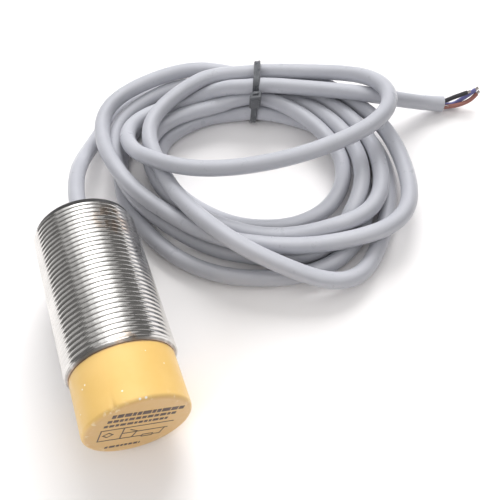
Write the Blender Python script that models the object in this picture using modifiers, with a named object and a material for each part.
"""Cylindrical inductive proximity sensor with an M30 x 1.5 barrel, lying on its side with its cable coiled and tied beside it.

Metres, +Z up. The sensor's axis runs along Y at the height of the thread's radius, and its sensing face looks towards -Y.
The origin is on the floor under the middle of the sensor.
"""

import math

import bmesh
import bpy
import numpy as np
from mathutils import Matrix, Vector

MM = 0.001
GAP = 0.3 * MM

# Driving dimensions of the sensor
THREAD_RADIUS = 15.0 * MM
SENSOR_LENGTH = 65.0 * MM
CAP_LENGTH = 16.0 * MM
CAP_RADIUS = 14.0 * MM
CAP_EDGE = 1.2 * MM
CAP_WALL = 1.2 * MM
BORE_RADIUS = 13.2 * MM
FRONT_CHAMFER = 0.7 * MM
REAR_CHAMFER = 1.3 * MM

FACE_Y = -SENSOR_LENGTH / 2
REAR_Y = SENSOR_LENGTH / 2
BARREL_FRONT_Y = FACE_Y + CAP_LENGTH
SPIGOT_RADIUS = BORE_RADIUS - GAP
SPIGOT_REAR_Y = BARREL_FRONT_Y + 6.0 * MM
CAP_INNER_RADIUS = 12.0 * MM

# Sensing head: ferrite pot core, open towards the face
CORE_RADIUS = 11.0 * MM
CORE_WALL = 2.0 * MM
CORE_POST_RADIUS = 4.6 * MM
CORE_BORE_RADIUS = 2.2 * MM
CORE_FRONT_Y = FACE_Y + CAP_WALL + 0.4 * MM
CORE_DEPTH = 6.8 * MM
CORE_GROOVE_DEPTH = 4.6 * MM
CORE_REAR_Y = CORE_FRONT_Y + CORE_DEPTH
BOBBIN_WALL = 0.6 * MM
CARRIER_FRONT_Y = CORE_REAR_Y + GAP
CARRIER_REAR_Y = CARRIER_FRONT_Y + 3.4 * MM

# Electronics on the board, in the plane of the axis
BOARD_WIDTH = 18.4 * MM
BOARD_THICKNESS = 1.0 * MM
BOARD_FRONT_Y = CARRIER_REAR_Y - 1.6 * MM
BOARD_REAR_Y = 19.0 * MM
SHIELD_RADIUS = 12.8 * MM
SHIELD_WALL = 0.3 * MM
SHIELD_FRONT_Y = SPIGOT_REAR_Y + 0.6 * MM
SHIELD_REAR_Y = 22.5 * MM
POTTING_RADIUS = 12.2 * MM
POTTING_NECK_RADIUS = 11.7 * MM
POTTING_FRONT_Y = -18.0 * MM
POTTING_REAR_Y = 22.0 * MM
TUNNEL_WIDTH = 19.4 * MM
TUNNEL_ABOVE_AXIS = 4.8 * MM
TUNNEL_BELOW_AXIS = 3.2 * MM

# Rear end and cable
CABLE_RADIUS = 2.6 * MM
CORE_WIRE_RADIUS = 0.75 * MM
COIL_LEAD_RADIUS = 0.2 * MM
JACKET_FRONT_Y = 25.5 * MM
REAR_CAP_FRONT_Y = 24.0 * MM
REAR_CAP_WALL_FRONT_Y = 30.0 * MM
REAR_CAP_REAR_Y = REAR_Y - GAP
GROMMET_END_Y = 37.0 * MM

# Where the pieces lie, all in metres
AXIS_Z = THREAD_RADIUS
COIL_CENTRE = Vector((58.0 * MM, 38.0 * MM, 0.0))
COIL_BOTTOM = 0.3 * MM
COIL_TOP = 8.6 * MM
TIE_ANGLE = 72.0
TIE_RADIUS = 36.6 * MM
TIE_STRAP_WIDTH = 3.6 * MM
TIE_STRAP_THICKNESS = 1.0 * MM

# The cable from inside the rear cap to the coil, in millimetres
LEAD_ROUTE = [
    (0.0, 25.5, 15.0),
    (0.0, 37.0, 15.0),
    (0.4, 46.0, 14.6),
    (2.0, 57.0, 12.8),
    (4.6, 66.0, 9.6),
    (7.4, 73.0, 6.4),
    (10.2, 78.4, 4.2),
]
# The turn that lies loosely across the coil, from before the tie round to where it drops into the coil
LOOP_ROUTE = [
    (60.0, 79.2, 13.5),
    (70.4, 76.2, 13.3),
    (79.5, 71.0, 13.3),
    (88.0, 66.3, 13.3),
    (95.2, 62.6, 13.5),
    (100.6, 58.0, 14.2),
    (104.0, 52.4, 15.6),
    (105.6, 46.0, 17.0),
    (105.3, 39.8, 17.8),
    (102.8, 35.4, 18.0),
    (98.0, 32.3, 18.0),
    (91.5, 30.2, 18.0),
    (81.0, 29.0, 18.0),
    (69.0, 29.2, 18.0),
    (57.0, 31.2, 18.0),
    (45.0, 35.0, 18.0),
    (37.0, 39.4, 17.8),
    (30.0, 45.0, 17.2),
    (25.0, 52.6, 15.6),
    (21.8, 62.0, 13.4),
]
# The free end, from before the tie down to the floor
TAIL_ROUTE = [
    (59.0, 72.8, 13.6),
    (68.1, 69.0, 13.8),
    (75.5, 65.2, 13.6),
    (83.0, 60.9, 13.3),
    (91.2, 55.6, 13.0),
    (97.4, 51.6, 12.6),
    (104.5, 47.6, 11.4),
    (112.5, 45.0, 8.4),
    (120.4, 43.8, 4.6),
    (127.2, 41.7, 2.7),
]
# The coil's outer edge: (degrees round the coil's centre, radius). It starts at the face that the lead runs into.
COIL_OUTER_EDGE = [
    (138.5, 66.2),
    (120.0, 64.6),
    (102.0, 58.6),
    (86.0, 47.6),
    (72.0, 44.7),
    (42.0, 44.8),
    (12.0, 46.0),
    (-18.0, 49.4),
    (-48.0, 53.0),
    (-78.0, 52.4),
    (-108.0, 43.0),
    (-138.0, 41.0),
    (-168.0, 44.0),
    (-198.0, 50.4),
    (-214.0, 55.6),
    (-221.5, 58.2),
]
COIL_INNER_EDGE = [
    (72.0, 28.5),
    (42.0, 24.6),
    (12.0, 22.8),
    (-18.0, 24.4),
    (-48.0, 25.0),
    (-78.0, 21.4),
    (-108.0, 18.8),
    (-138.0, 18.4),
    (-168.0, 20.2),
    (162.0, 27.0),
    (132.0, 33.0),
    (102.0, 32.0),
]
# The three cores at the cable's bare end, in millimetres
BARE_CORE_ROUTES = {
    "brown": [(127.8, 40.4, 2.1), (132.3, 39.5, 1.7), (136.6, 38.5, 2.4), (139.6, 38.2, 4.6)],
    "blue": [(128.2, 42.1, 2.2), (132.9, 40.6, 3.2), (137.1, 39.7, 4.6), (139.9, 39.7, 6.2)],
    "black": [(128.3, 41.3, 4.1), (131.2, 40.6, 5.1), (134.0, 39.9, 5.9), (136.2, 39.3, 6.6)],
}

# name: (x, y, width, length, height) in millimetres, on the board's upper or lower side
UPPER_COMPONENTS = {
    "oscillator_chip": (0.0, -10.0, 4.0, 5.0, 1.5),
    "output_transistor": (4.6, 9.0, 6.4, 6.2, 2.3),
    "polarity_diode": (-5.4, 10.6, 2.6, 4.3, 2.1),
    "surge_diode": (-5.4, 4.8, 2.6, 4.3, 2.1),
    "supply_capacitor": (-5.0, -2.6, 4.3, 7.3, 2.9),
    "filter_capacitor": (3.6, 1.0, 1.6, 3.2, 1.3),
    "resonance_capacitor": (-6.2, -12.4, 2.5, 3.2, 1.6),
    "trim_resistor": (6.2, -12.0, 1.6, 3.2, 0.6),
}
LOWER_COMPONENTS = {
    "bias_resistor": (-5.0, -8.0, 1.3, 2.0, 0.6),
    "feedback_resistor": (0.0, -3.0, 1.3, 2.0, 0.6),
    "hysteresis_resistor": (5.0, 2.0, 1.3, 2.0, 0.6),
    "load_resistor": (-3.0, 9.0, 1.6, 3.2, 0.6),
}

PLATED_BRASS = ("plated_brass", (0.62, 0.62, 0.61), 0.22, 1.0)
YELLOW_PLASTIC = ("yellow_plastic", (0.86, 0.60, 0.13), 0.42, 0.0)
DARK_PLASTIC = ("dark_plastic", (0.045, 0.047, 0.05), 0.5, 0.0)
CABLE_PVC = ("cable_pvc", (0.46, 0.47, 0.51), 0.45, 0.0)
TIE_NYLON = ("tie_nylon", (0.05, 0.055, 0.06), 0.45, 0.0)
FERRITE = ("ferrite", (0.05, 0.048, 0.05), 0.6, 0.0)
COPPER = ("copper", (0.72, 0.32, 0.14), 0.3, 1.0)
BOBBIN_PLASTIC = ("bobbin_plastic", (0.75, 0.73, 0.66), 0.5, 0.0)
BOARD_LAMINATE = ("board_laminate", (0.03, 0.16, 0.06), 0.4, 0.0)
COMPONENT_BLACK = ("component_black", (0.03, 0.03, 0.03), 0.5, 0.0)
COMPONENT_TAN = ("component_tan", (0.55, 0.42, 0.26), 0.45, 0.0)
RESIN = ("resin", (0.20, 0.17, 0.13), 0.35, 0.0)
STEEL = ("steel", (0.55, 0.55, 0.55), 0.3, 1.0)
RUBBER = ("rubber", (0.04, 0.04, 0.045), 0.7, 0.0)
CORE_COLOURS = {
    "brown": ("brown_pvc", (0.26, 0.09, 0.05), 0.4, 0.0),
    "blue": ("blue_pvc", (0.05, 0.09, 0.40), 0.4, 0.0),
    "black": ("black_pvc", (0.02, 0.02, 0.02), 0.4, 0.0),
}


def clear_scene():
    for item in list(bpy.data.objects):
        bpy.data.objects.remove(item, do_unlink=True)


def new_collection(name):
    collection = bpy.data.collections.new(name)
    bpy.context.scene.collection.children.link(collection)
    return collection


def material(look):
    name, colour, roughness, metallic = look
    found = bpy.data.materials.get(name)
    if found:
        return found
    made = bpy.data.materials.new(name)
    made.use_nodes = True
    shader = made.node_tree.nodes["Principled BSDF"]
    shader.inputs["Base Color"].default_value = (*colour, 1.0)
    shader.inputs["Roughness"].default_value = roughness
    shader.inputs["Metallic"].default_value = metallic
    return made


def add_object(name, data, look):
    item = bpy.data.objects.new(name, data)
    PARTS.objects.link(item)
    data.materials.append(material(look))
    return item


def arc(centre, radius, start, end, count):
    """(y, radius) points of a round edge in a turned profile, by angle in degrees from +Y towards outside."""
    steps = np.radians(np.linspace(start, end, count))
    return [(centre[0] + radius * math.cos(a), centre[1] + radius * math.sin(a)) for a in steps]


def turned(name, profile, look, closed, segments=48):
    """A shape turned about the sensor's axis from (y, radius) points that run down the outer side, rear to front."""
    mesh = bpy.data.meshes.new(name)
    edges = [(i, i + 1) for i in range(len(profile) - 1)]
    if closed:
        edges.append((len(profile) - 1, 0))
    mesh.from_pydata([(radius, 0.0, y) for y, radius in profile], edges, [])
    item = add_object(name, mesh, look)
    screw = item.modifiers.new("turn", "SCREW")
    screw.axis = "Z"
    screw.steps = segments
    screw.render_steps = segments
    screw.use_merge_vertices = True
    screw.merge_threshold = 0.00001
    screw.use_smooth_shade = True
    item.location = (0.0, 0.0, AXIS_Z)
    item.rotation_euler = (-math.pi / 2, 0.0, 0.0)
    return item


def ring(name, rear, front, outer, inner, look, segments=48):
    profile = [(rear, outer), (front, outer), (front, inner), (rear, inner)]
    return turned(name, profile, look, closed=True, segments=segments)


def box(name, low, high, look, bevel=0.0):
    mesh = bpy.data.meshes.new(name)
    shape = bmesh.new()
    bmesh.ops.create_cube(shape, size=1.0)
    shape.to_mesh(mesh)
    shape.free()
    item = add_object(name, mesh, look)
    size = Vector(high) - Vector(low)
    mesh.transform(Matrix.Diagonal((*size, 1.0)))
    item.location = (Vector(high) + Vector(low)) / 2
    if bevel:
        rounding = item.modifiers.new("bevel", "BEVEL")
        rounding.width = bevel
        rounding.segments = 1
    return item


def make_cutter(item):
    PARTS.objects.unlink(item)
    CUTTERS.objects.link(item)
    item.hide_render = True
    item.display_type = "WIRE"


def cut(item, cutter):
    make_cutter(cutter)
    boolean = item.modifiers.new("cut", "BOOLEAN")
    boolean.operation = "DIFFERENCE"
    boolean.solver = "EXACT"
    boolean.object = cutter


def smooth_path(route, spacing):
    """Evenly spaced points along a centripetal Catmull-Rom curve through a route in millimetres."""
    knots = np.array(route, float) * MM
    knots = np.vstack([2 * knots[0] - knots[1], knots, 2 * knots[-1] - knots[-2]])
    fine = []
    for p0, p1, p2, p3 in zip(knots, knots[1:], knots[2:], knots[3:]):
        t1 = math.sqrt(np.linalg.norm(p1 - p0))
        t2 = t1 + math.sqrt(np.linalg.norm(p2 - p1))
        t3 = t2 + math.sqrt(np.linalg.norm(p3 - p2))
        for t in np.linspace(t1, t2, 12, endpoint=False):
            a1 = p0 + (p1 - p0) * t / t1
            a2 = p1 + (p2 - p1) * (t - t1) / (t2 - t1)
            a3 = p2 + (p3 - p2) * (t - t2) / (t3 - t2)
            b1 = a1 + (a2 - a1) * t / t2
            b2 = a2 + (a3 - a2) * (t - t1) / (t3 - t1)
            fine.append(b1 + (b2 - b1) * (t - t1) / (t2 - t1))
    fine.append(knots[-2])
    fine = np.array(fine)
    along = np.concatenate([[0.0], np.cumsum(np.linalg.norm(np.diff(fine, axis=0), axis=1))])
    places = np.linspace(0.0, along[-1], max(2, round(along[-1] / spacing) + 1))
    return [tuple(np.interp(s, along, fine[:, axis]) for axis in range(3)) for s in places]


def tube(name, points, radius, look):
    curve = bpy.data.curves.new(name, "CURVE")
    curve.dimensions = "3D"
    curve.bevel_depth = radius
    curve.bevel_resolution = 2
    curve.use_fill_caps = True
    spline = curve.splines.new("POLY")
    spline.points.add(len(points) - 1)
    for point, place in zip(spline.points, points):
        point.co = (*place, 1.0)
    return add_object(name, curve, look)


def outline(name, loops, thickness, look):
    """A flat piece in the local XY plane, the first loop its edge and any other a hole, centred on its thickness."""
    curve = bpy.data.curves.new(name, "CURVE")
    curve.dimensions = "2D"
    curve.fill_mode = "BOTH"
    curve.extrude = thickness / 2
    for loop in loops:
        spline = curve.splines.new("POLY")
        spline.points.add(len(loop) - 1)
        spline.use_cyclic_u = True
        for point, (x, y) in zip(spline.points, loop):
            point.co = (x, y, 0.0, 1.0)
    return add_object(name, curve, look)


def to_mesh(item):
    """The same object as one welded mesh, so that it can take a Boolean."""
    graph = bpy.context.evaluated_depsgraph_get()
    mesh = bpy.data.meshes.new_from_object(item.evaluated_get(graph))
    shape = bmesh.new()
    shape.from_mesh(mesh)
    bmesh.ops.remove_doubles(shape, verts=shape.verts, dist=0.000001)
    bmesh.ops.recalc_face_normals(shape, faces=shape.faces)
    shape.to_mesh(mesh)
    shape.free()
    name = item.name
    place = item.matrix_world.copy()
    bpy.data.objects.remove(item, do_unlink=True)
    made = bpy.data.objects.new(name, mesh)
    PARTS.objects.link(made)
    made.matrix_world = place
    return made


def make_barrel():
    profile = [
        (REAR_Y, THREAD_RADIUS - REAR_CHAMFER),
        (REAR_Y - REAR_CHAMFER, THREAD_RADIUS),
        (BARREL_FRONT_Y + FRONT_CHAMFER, THREAD_RADIUS),
        (BARREL_FRONT_Y, THREAD_RADIUS - FRONT_CHAMFER),
        (BARREL_FRONT_Y, BORE_RADIUS),
        (REAR_Y, BORE_RADIUS),
    ]
    turned("barrel", profile, PLATED_BRASS, closed=True, segments=64)


def make_front_cap():
    shoulder = BARREL_FRONT_Y - GAP
    edge = arc((FACE_Y + CAP_EDGE, CAP_RADIUS - CAP_EDGE), CAP_EDGE, 90.0, 180.0, 5)
    inner_face = FACE_Y + CAP_WALL
    profile = [
        (inner_face, 0.0),
        (inner_face, CAP_INNER_RADIUS),
        (SPIGOT_REAR_Y, CAP_INNER_RADIUS),
        (SPIGOT_REAR_Y, SPIGOT_RADIUS),
        (shoulder, SPIGOT_RADIUS),
        (shoulder, CAP_RADIUS),
        *edge,
        (FACE_Y, 0.0),
    ]
    turned("front_cap", profile, YELLOW_PLASTIC, closed=False, segments=64)


def make_sensing_head():
    groove = CORE_FRONT_Y + CORE_GROOVE_DEPTH
    wall_inner = CORE_RADIUS - CORE_WALL
    core = turned(
        "ferrite_core",
        [
            (CORE_REAR_Y, CORE_RADIUS),
            (CORE_FRONT_Y, CORE_RADIUS),
            (CORE_FRONT_Y, wall_inner),
            (groove, wall_inner),
            (groove, CORE_POST_RADIUS),
            (CORE_FRONT_Y, CORE_POST_RADIUS),
            (CORE_FRONT_Y, CORE_BORE_RADIUS),
            (CORE_REAR_Y, CORE_BORE_RADIUS),
        ],
        FERRITE,
        closed=True,
    )
    slot = 1.4 * MM
    slot_reach = CORE_RADIUS + 1.0 * MM
    low = (-slot_reach, CORE_FRONT_Y - 1.0 * MM, AXIS_Z - slot)
    high = (slot_reach, groove - GAP, AXIS_Z + slot)
    side_slots = box("core_slots", low, high, FERRITE)
    keep_post = ring("core_post_guard", groove, CORE_FRONT_Y - 2.0 * MM, 8.6 * MM, 1.0 * MM, FERRITE)
    make_cutter(keep_post)
    spare = side_slots.modifiers.new("spare_the_post", "BOOLEAN")
    spare.operation = "DIFFERENCE"
    spare.object = keep_post
    cut(core, side_slots)

    bobbin_rear = groove - GAP
    bobbin_front = CORE_FRONT_Y + GAP
    bobbin_inner = CORE_POST_RADIUS + GAP
    bobbin_outer = wall_inner - GAP
    drum = bobbin_inner + 0.8 * MM
    bobbin = [
        (bobbin_rear, bobbin_outer),
        (bobbin_rear - BOBBIN_WALL, bobbin_outer),
        (bobbin_rear - BOBBIN_WALL, drum),
        (bobbin_front + BOBBIN_WALL, drum),
        (bobbin_front + BOBBIN_WALL, bobbin_outer),
        (bobbin_front, bobbin_outer),
        (bobbin_front, bobbin_inner),
        (bobbin_rear, bobbin_inner),
    ]
    turned("coil_bobbin", bobbin, BOBBIN_PLASTIC, closed=True)
    winding_rear = bobbin_rear - BOBBIN_WALL - GAP
    winding_front = bobbin_front + BOBBIN_WALL + GAP
    ring("coil_winding", winding_rear, winding_front, bobbin_outer - 0.4 * MM, drum + GAP, COPPER)

    peg_radius = CORE_BORE_RADIUS - GAP
    peg_front = CORE_FRONT_Y + 0.6 * MM
    carrier_profile = [
        (CARRIER_REAR_Y, 0.0),
        (CARRIER_REAR_Y, CORE_RADIUS),
        (CARRIER_FRONT_Y, CORE_RADIUS),
        (CARRIER_FRONT_Y, peg_radius),
        (peg_front, peg_radius),
        (peg_front, 0.0),
    ]
    carrier = turned("core_carrier", carrier_profile, BOBBIN_PLASTIC, closed=False)
    slot_half = BOARD_THICKNESS / 2 + GAP
    low = (-BOARD_WIDTH / 2 - GAP, BOARD_FRONT_Y - GAP, AXIS_Z - slot_half)
    high = (BOARD_WIDTH / 2 + GAP, CARRIER_REAR_Y + 1.0 * MM, AXIS_Z + slot_half)
    cut(carrier, box("carrier_slot", low, high, BOBBIN_PLASTIC))

    winding_middle = (winding_rear + winding_front) / 2
    outside = (CORE_RADIUS + CAP_INNER_RADIUS) / 2
    board_edge_z = AXIS_Z + BOARD_THICKNESS / 2 + GAP + COIL_LEAD_RADIUS
    for side, name in ((-1, "coil_lead_start"), (1, "coil_lead_finish")):
        corners = [
            (side * bobbin_outer, winding_middle, AXIS_Z),
            (side * outside, winding_middle + 1.0 * MM, AXIS_Z),
            (side * outside, CARRIER_REAR_Y - 0.6 * MM, AXIS_Z),
            (side * (outside - 1.2 * MM), CARRIER_REAR_Y + 1.0 * MM, board_edge_z),
            (side * 7.6 * MM, POTTING_FRONT_Y + 2.0 * MM, board_edge_z),
        ]
        tube(name, corners, COIL_LEAD_RADIUS, COPPER)


def make_electronics():
    half = BOARD_THICKNESS / 2
    low = (-BOARD_WIDTH / 2, BOARD_FRONT_Y, AXIS_Z - half)
    high = (BOARD_WIDTH / 2, BOARD_REAR_Y, AXIS_Z + half)
    box("circuit_board", low, high, BOARD_LAMINATE)
    for components, side in ((UPPER_COMPONENTS, 1), (LOWER_COMPONENTS, -1)):
        for name, (x, y, width, length, height) in components.items():
            near = AXIS_Z + side * (half + GAP)
            far = near + side * height * MM
            low = ((x - width / 2) * MM, (y - length / 2) * MM, min(near, far))
            high = ((x + width / 2) * MM, (y + length / 2) * MM, max(near, far))
            tan = "capacitor" in name or "resistor" in name
            box(name, low, high, COMPONENT_TAN if tan else COMPONENT_BLACK, bevel=0.1 * MM)
    shield_inner = SHIELD_RADIUS - SHIELD_WALL
    ring("shield_sleeve", SHIELD_REAR_Y, SHIELD_FRONT_Y, SHIELD_RADIUS, shield_inner, STEEL)
    neck_rear = SHIELD_FRONT_Y
    potting_profile = [
        (POTTING_REAR_Y, 0.0),
        (POTTING_REAR_Y, POTTING_RADIUS),
        (neck_rear, POTTING_RADIUS),
        (neck_rear, POTTING_NECK_RADIUS),
        (POTTING_FRONT_Y, POTTING_NECK_RADIUS),
        (POTTING_FRONT_Y, 0.0),
    ]
    potting = turned("potting_compound", potting_profile, RESIN, closed=False)
    low = (-TUNNEL_WIDTH / 2, POTTING_FRONT_Y - 1.0 * MM, AXIS_Z - TUNNEL_BELOW_AXIS)
    high = (TUNNEL_WIDTH / 2, POTTING_REAR_Y + 1.0 * MM, AXIS_Z + TUNNEL_ABOVE_AXIS)
    cut(potting, box("potting_tunnel", low, high, RESIN))


def make_rear_end():
    hole = 4.3 * MM
    rear_cap = [
        (REAR_CAP_REAR_Y, SPIGOT_RADIUS - 0.4 * MM),
        (REAR_CAP_REAR_Y - 0.4 * MM, SPIGOT_RADIUS),
        (REAR_CAP_FRONT_Y, SPIGOT_RADIUS),
        (REAR_CAP_FRONT_Y, SPIGOT_RADIUS - 1.2 * MM),
        (REAR_CAP_WALL_FRONT_Y, SPIGOT_RADIUS - 1.2 * MM),
        (REAR_CAP_WALL_FRONT_Y, hole),
        (REAR_CAP_REAR_Y, hole),
    ]
    turned("rear_cap", rear_cap, DARK_PLASTIC, closed=True)
    bore = CABLE_RADIUS + GAP
    flange_rear = REAR_CAP_WALL_FRONT_Y - GAP
    flange_front = flange_rear - 1.5 * MM
    grommet = [
        (GROMMET_END_Y, bore + 0.6 * MM),
        (REAR_Y + 0.4 * MM, hole - GAP),
        (flange_rear, hole - GAP),
        (flange_rear, 6.0 * MM),
        (flange_front, 6.0 * MM),
        (flange_front, bore),
        (GROMMET_END_Y, bore),
    ]
    turned("cable_grommet", grommet, RUBBER, closed=True, segments=32)
    ring_rear = flange_front - GAP
    ring("crimp_ring", ring_rear, ring_rear - 2.0 * MM, bore + 0.6 * MM, bore, STEEL, segments=32)


def make_inner_leads():
    """The cable's three cores, from the jacket's inner end to their pads on the board."""
    pad_z = AXIS_Z + BOARD_THICKNESS / 2 + GAP + CORE_WIRE_RADIUS
    lay = 1.1 * MM
    for name, pad_x, angle in (("brown", -5.0, 150.0), ("blue", 0.0, 270.0), ("black", 5.0, 30.0)):
        bundle_x = lay * math.cos(math.radians(angle))
        bundle_z = AXIS_Z + lay * math.sin(math.radians(angle))
        corners = [
            (bundle_x, JACKET_FRONT_Y - GAP, bundle_z),
            (bundle_x * 1.4, JACKET_FRONT_Y - 1.8 * MM, bundle_z + 0.3 * MM),
            (pad_x * 0.6 * MM, BOARD_REAR_Y + 2.0 * MM, pad_z + 0.4 * MM),
            (pad_x * MM, BOARD_REAR_Y - 0.6 * MM, pad_z),
            (pad_x * MM, BOARD_REAR_Y - 3.4 * MM, pad_z),
        ]
        tube(f"{name}_inner_lead", corners, CORE_WIRE_RADIUS, CORE_COLOURS[name])


def edge_points(stations, count, cyclic):
    """Points round the coil's centre, the radius read from a smooth curve through the stations."""
    angles = np.array([angle for angle, _ in stations])
    radii = np.array([radius for _, radius in stations]) * MM
    if cyclic:
        angles = np.unwrap(angles, period=360)
        angles = np.append(angles, angles[0] - 360)
        radii = np.append(radii, radii[0])
    route = [(angle, radius / MM, 0.0) for angle, radius in zip(angles, radii)]
    smooth = np.array(smooth_path(route, 0.5 * MM)) / MM
    order = np.argsort(smooth[:, 0])
    wanted = np.linspace(angles[0], angles[-1], count, endpoint=not cyclic)
    radius = np.interp(wanted, smooth[order, 0], smooth[order, 1]) * MM
    turn = np.radians(wanted)
    return [(r * math.cos(a), r * math.sin(a)) for r, a in zip(radius, turn)]


def make_coil():
    """The wound part of the cable, as one solid of its outer shape."""
    loops = [edge_points(COIL_OUTER_EDGE, 56, cyclic=False), edge_points(COIL_INNER_EDGE, 36, cyclic=True)]
    coil = outline("cable_coil", loops, COIL_TOP - COIL_BOTTOM, CABLE_PVC)
    coil.location = COIL_CENTRE + Vector((0.0, 0.0, (COIL_TOP + COIL_BOTTOM) / 2))
    bpy.context.view_layer.update()
    coil = to_mesh(coil)
    half_slot = TIE_STRAP_WIDTH / 2 + GAP
    depth = TIE_STRAP_THICKNESS + 4 * GAP
    low = (TIE_RADIUS - 14.0 * MM, -half_slot, -1.0 * MM)
    high = (TIE_RADIUS + 14.0 * MM, half_slot, depth)
    groove = box("tie_groove", (0.0, 0.0, 0.0), Vector(high) - Vector(low), CABLE_PVC)
    centre = (Vector(high) + Vector(low)) / 2
    turn = Matrix.Rotation(math.radians(TIE_ANGLE), 4, "Z")
    groove.matrix_world = Matrix.Translation(COIL_CENTRE) @ turn @ Matrix.Translation(centre)
    cut(coil, groove)


def rounded_rectangle(width, height, radius, count):
    points = []
    for corner, (sx, sy) in enumerate(((1, 1), (-1, 1), (-1, -1), (1, -1))):
        for step in range(count + 1):
            angle = math.radians(90.0 * (corner + step / count))
            x = sx * (width / 2 - radius) + radius * math.cos(angle)
            y = sy * (height / 2 - radius) + radius * math.sin(angle)
            points.append((x, y))
    return points


def make_cable_tie():
    """Strap and head in one moulding, round every strand at the top of the coil."""
    inner_width = 18.8 * MM
    inner_height = 15.6 * MM
    strap = 2 * TIE_STRAP_THICKNESS
    loops = [
        rounded_rectangle(inner_width + strap, inner_height + strap, 3.0 * MM, 4),
        rounded_rectangle(inner_width, inner_height, 2.0 * MM, 4),
    ]
    tie = outline("cable_tie", loops, TIE_STRAP_WIDTH, TIE_NYLON)
    middle_z = inner_height / 2 + TIE_STRAP_THICKNESS + 0.2 * MM
    upright = Matrix.Rotation(math.pi / 2, 4, "X")
    turn = Matrix.Rotation(math.radians(TIE_ANGLE), 4, "Z")
    place = Matrix.Translation(COIL_CENTRE) @ turn @ Matrix.Translation((TIE_RADIUS, 0.0, middle_z))
    tie.matrix_world = place @ upright
    bpy.context.view_layer.update()
    tie = to_mesh(tie)
    head = box("tie_head", (-2.0 * MM, -2.4 * MM, -2.6 * MM), (2.0 * MM, 2.4 * MM, 2.6 * MM), TIE_NYLON)
    inside = inner_width / 2 + TIE_STRAP_THICKNESS / 2
    head.matrix_world = place @ upright @ Matrix.Translation((-inside - 1.6 * MM, 3.4 * MM, 0.0))
    make_cutter(head)
    join = tie.modifiers.new("join", "BOOLEAN")
    join.operation = "UNION"
    join.object = head


def make_cable():
    tube("cable_lead", smooth_path(LEAD_ROUTE, 5.2 * MM), CABLE_RADIUS, CABLE_PVC)
    tube("cable_loop", smooth_path(LOOP_ROUTE, 7.0 * MM), CABLE_RADIUS, CABLE_PVC)
    tube("cable_tail", smooth_path(TAIL_ROUTE, 7.0 * MM), CABLE_RADIUS, CABLE_PVC)
    for name, route in BARE_CORE_ROUTES.items():
        tube(f"{name}_core_end", smooth_path(route, 3.0 * MM), CORE_WIRE_RADIUS, CORE_COLOURS[name])


clear_scene()
PARTS = new_collection("proximity_sensor")
CUTTERS = new_collection("cutters")
make_barrel()
make_front_cap()
make_sensing_head()
make_electronics()
make_rear_end()
make_inner_leads()
make_coil()
make_cable()
make_cable_tie()
